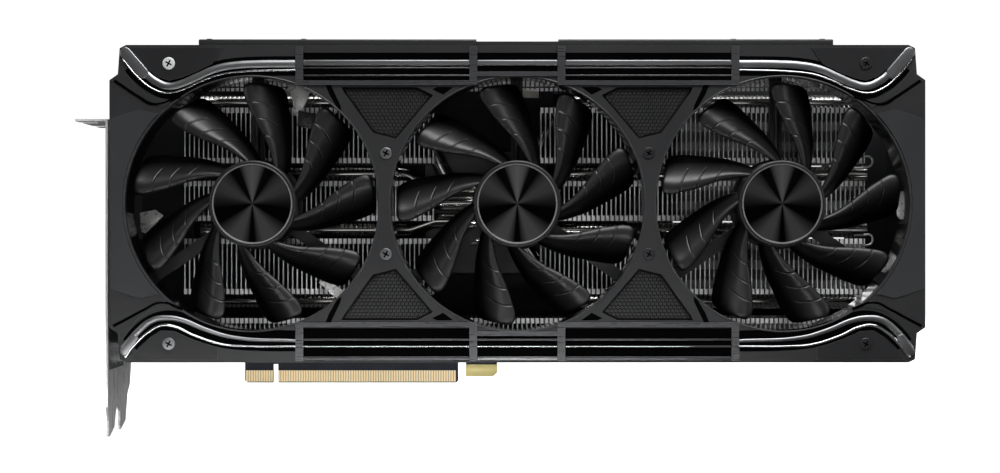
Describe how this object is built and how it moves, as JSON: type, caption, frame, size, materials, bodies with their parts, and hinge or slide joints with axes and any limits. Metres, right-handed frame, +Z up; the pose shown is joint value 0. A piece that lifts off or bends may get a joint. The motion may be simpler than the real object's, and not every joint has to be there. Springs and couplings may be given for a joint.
{
  "type": "graphics card",
  "caption": "Long air-cooled graphics card with three axial fans, a finned heat-pipe cooler, a slotted backplate and a mounting bracket with display sockets",
  "frame": {"origin": "middle of the edge connector's key notch, at the board's bottom edge and in the middle of the board's thickness", "axes": "+X runs along the card away from the mounting bracket, +Z is up from the edge connector, and the fans face -Y"},
  "size_m": [0.317, 0.0579, 0.149],
  "materials": {
    "shroud_plastic": "satin black moulded plastic",
    "bright_trim": "bright plated trim",
    "rail_grey": "gunmetal grey plated bars",
    "corner_grey": "dark grey moulded plastic",
    "mesh_metal": "dark hexagon mesh",
    "light_bar": "smoked diffuser",
    "board_navy": "dark solder resist on laminate",
    "blade_plastic": "satin black moulded blades",
    "hub_metal": "spun dark metal with a bright rim",
    "magnet": "bonded ferrite in a steel yoke",
    "steel": "ground steel shaft",
    "bearing_bronze": "sintered bronze sleeve",
    "winding": "laminations with enamelled copper windings",
    "frame_plastic": "black moulded frame",
    "lead_sleeve": "black sleeved lead",
    "header_plastic": "natural nylon header",
    "fins": "plain aluminium fins",
    "nickel": "nickel plated copper",
    "cast_frame": "cast and blackened aluminium",
    "gold": "gold plated contacts",
    "package_green": "package substrate",
    "silicon": "polished silicon",
    "chip_epoxy": "black moulding compound",
    "pad_silicone": "soft grey thermal pad",
    "ferrite": "pressed powder inductor",
    "can_metal": "aluminium can",
    "socket_nylon": "black nylon with tinned pins",
    "selector_housing": "black switch housing",
    "selector_slider": "white slider",
    "backplate_metal": "black brushed and anodised plate",
    "spring_steel": "spring steel cross",
    "screw_steel": "plated steel screws",
    "bracket_nickel": "satin nickel plated steel",
    "socket_shell": "nickel plated shell"
  },
  "bodies": {
    "root": {"backplate": "backplate_metal", "board_screws": "screw_steel", "bottom_rail": "rail_grey", "capacitors": "can_metal", "circuit_board": "board_navy", "cold_plate": "nickel", "cooler_base": "cast_frame", "corner_plates": "corner_grey", "display_sockets": "socket_shell", "edge_contacts": "gold", "fan_bearings": "bearing_bronze", "fan_frame_1": "frame_plastic", "fan_frame_2": "frame_plastic", "fan_frame_3": "frame_plastic", "fan_headers": "header_plastic", "fan_lead_1": "lead_sleeve", "fan_lead_2": "lead_sleeve", "fan_lead_3": "lead_sleeve", "fan_motor_boards": "board_navy", "fan_stators": "winding", "fin_block_bottom": "fins", "fin_block_left": "fins", "fin_block_right": "fins", "fin_block_top": "fins", "front_shroud": "shroud_plastic", "gpu_die": "silicon", "gpu_package": "package_green", "heat_pipes": "nickel", "inductors": "ferrite", "io_bracket": "bracket_nickel", "memory_chips": "chip_epoxy", "mesh_inserts": "mesh_metal", "power_socket_1": "socket_nylon", "power_socket_2": "socket_nylon", "power_stages": "chip_epoxy", "retention_bracket": "spring_steel", "retention_screws": "screw_steel", "selector_housing": "selector_housing", "shroud_screws": "screw_steel", "thermal_pads": "pad_silicone", "top_light_bar": "light_bar", "top_rail": "rail_grey", "video_socket": "socket_shell", "wave_trim_bottom_left": "bright_trim", "wave_trim_bottom_right": "bright_trim", "wave_trim_top_left": "bright_trim", "wave_trim_top_right": "bright_trim"},
    "rotor_1": {"fan_rotor_1": "blade_plastic", "fan_shaft_1": "steel", "hub_disc_1": "hub_metal", "magnet_ring_1": "magnet"},
    "rotor_2": {"fan_rotor_2": "blade_plastic", "fan_shaft_2": "steel", "hub_disc_2": "hub_metal", "magnet_ring_2": "magnet"},
    "rotor_3": {"fan_rotor_3": "blade_plastic", "fan_shaft_3": "steel", "hub_disc_3": "hub_metal", "magnet_ring_3": "magnet"},
    "selector": {"selector_slider": "selector_slider"}
  },
  "joints": [
    {"name": "fan_1_spin", "type": "hinge", "parent": "root", "child": "rotor_1", "pos_m": [-0.002, 0, 0.0705], "axis": [0, -1, 0], "continuous": true},
    {"name": "fan_2_spin", "type": "hinge", "parent": "root", "child": "rotor_2", "pos_m": [0.096, 0, 0.0705], "axis": [0, -1, 0], "continuous": true},
    {"name": "fan_3_spin", "type": "hinge", "parent": "root", "child": "rotor_3", "pos_m": [0.194, 0, 0.0705], "axis": [0, -1, 0], "continuous": true},
    {"name": "selector_slide", "type": "slide", "parent": "root", "child": "selector", "axis": [1, 0, 0], "range_m": [0, 0.002]}
  ]
}
